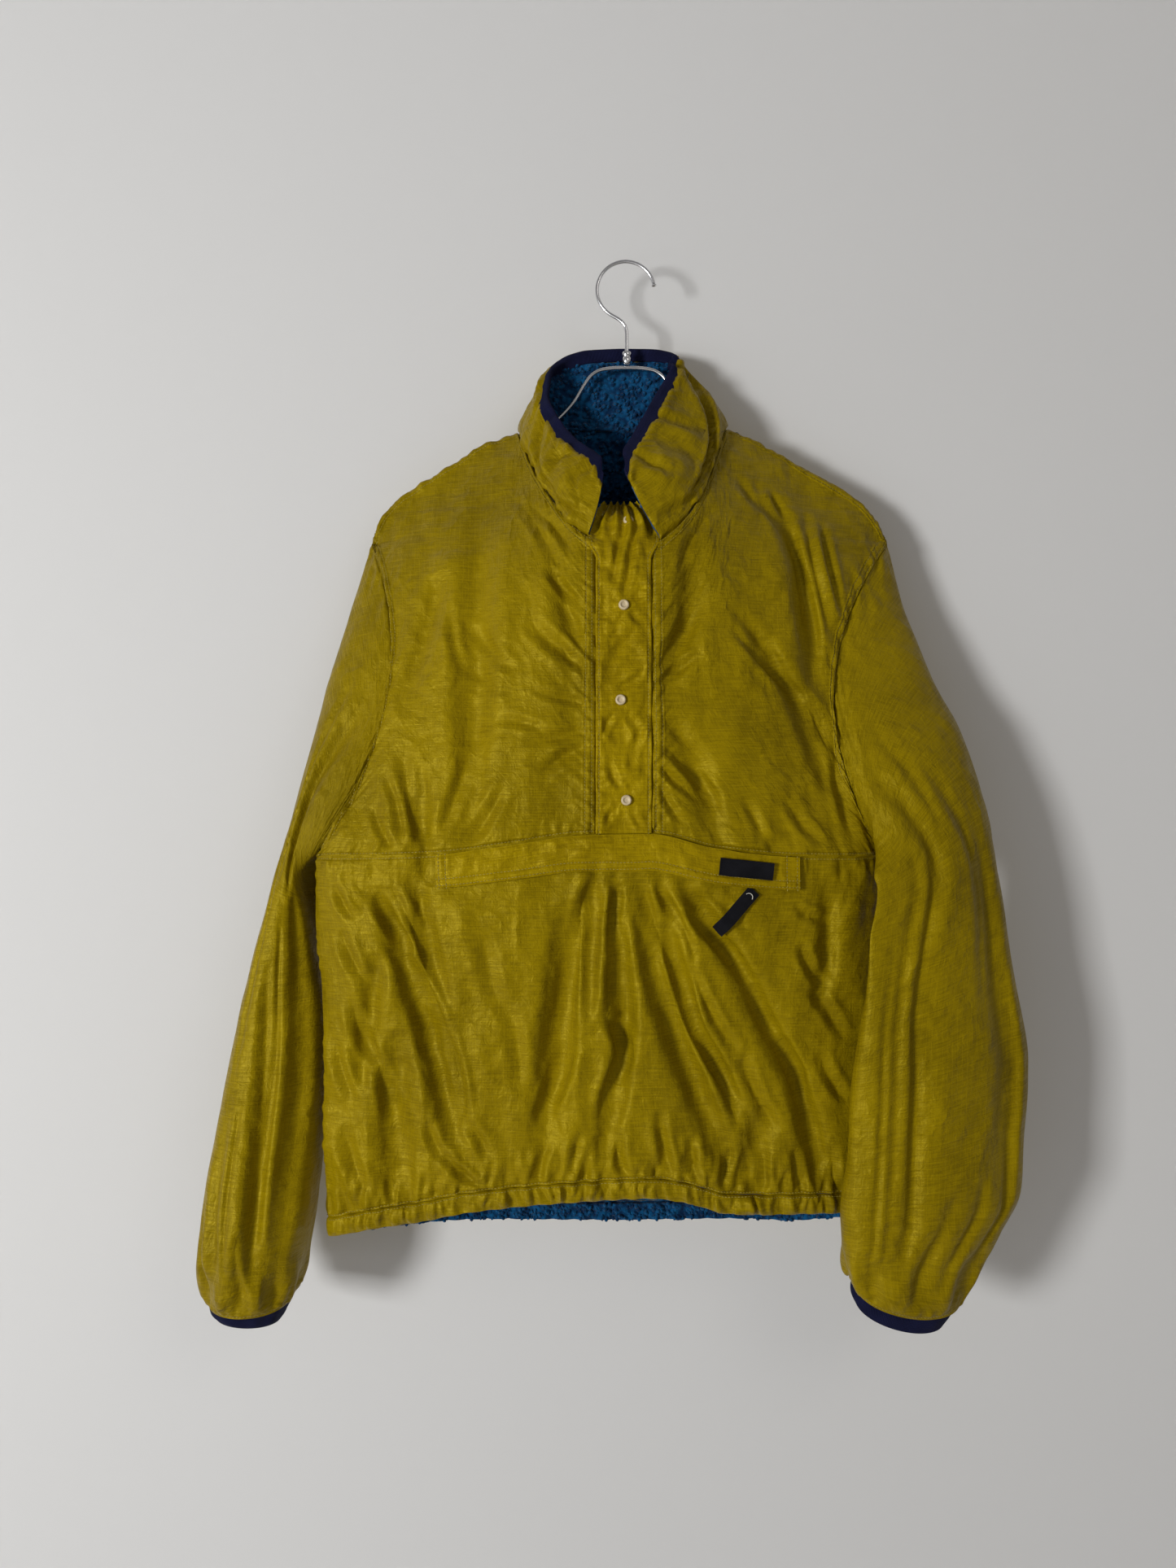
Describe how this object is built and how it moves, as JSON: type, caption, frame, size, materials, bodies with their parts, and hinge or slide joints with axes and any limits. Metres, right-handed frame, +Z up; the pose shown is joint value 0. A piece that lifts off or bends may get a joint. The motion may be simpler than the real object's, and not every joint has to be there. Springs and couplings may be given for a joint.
{
  "type": "fleece pullover on hanger",
  "caption": "Hip-length pullover with a nylon face and fleece inside, stand collar, snap placket and flap pocket, on a wire hanger.",
  "frame": {"origin": "underside of the hanger hook's crown, where it sits on what holds it", "axes": "+Z up, the front of the garment faces -Y, +X to the viewer's right; the hanger's wire lies in y = 0"},
  "size_m": [0.7605, 0.1462, 1.007],
  "materials": {
    "mustard_nylon": "ripstop nylon with a soft sheen",
    "blue_fleece": "pile fleece",
    "navy_knit": "elastic knit",
    "black_webbing": "woven tape",
    "cream_enamel": "enamelled ring snap",
    "bright_wire": "polished wire"
  },
  "bodies": {
    "root": {"front_left": "mustard_nylon", "front_right": "mustard_nylon", "placket": "mustard_nylon", "lower_front": "mustard_nylon", "hem_band_front": "mustard_nylon", "back": "mustard_nylon", "hem_band_back": "mustard_nylon", "lining_back_neck": "blue_fleece", "lining_back_hem": "blue_fleece", "sleeve_left": "mustard_nylon", "sleeve_right": "mustard_nylon", "cuff_left": "navy_knit", "cuff_right": "navy_knit", "collar": "mustard_nylon", "collar_lining": "blue_fleece", "collar_binding": "navy_knit", "pocket_flap": "mustard_nylon", "label_patch": "black_webbing", "pull_tab": "black_webbing", "snap_1": "cream_enamel", "snap_2": "cream_enamel", "snap_3": "cream_enamel", "snap_4": "cream_enamel", "hanger_hook": "bright_wire", "hanger_ferrule": "bright_wire", "hanger_arms": "bright_wire"}
  },
  "joints": []
}
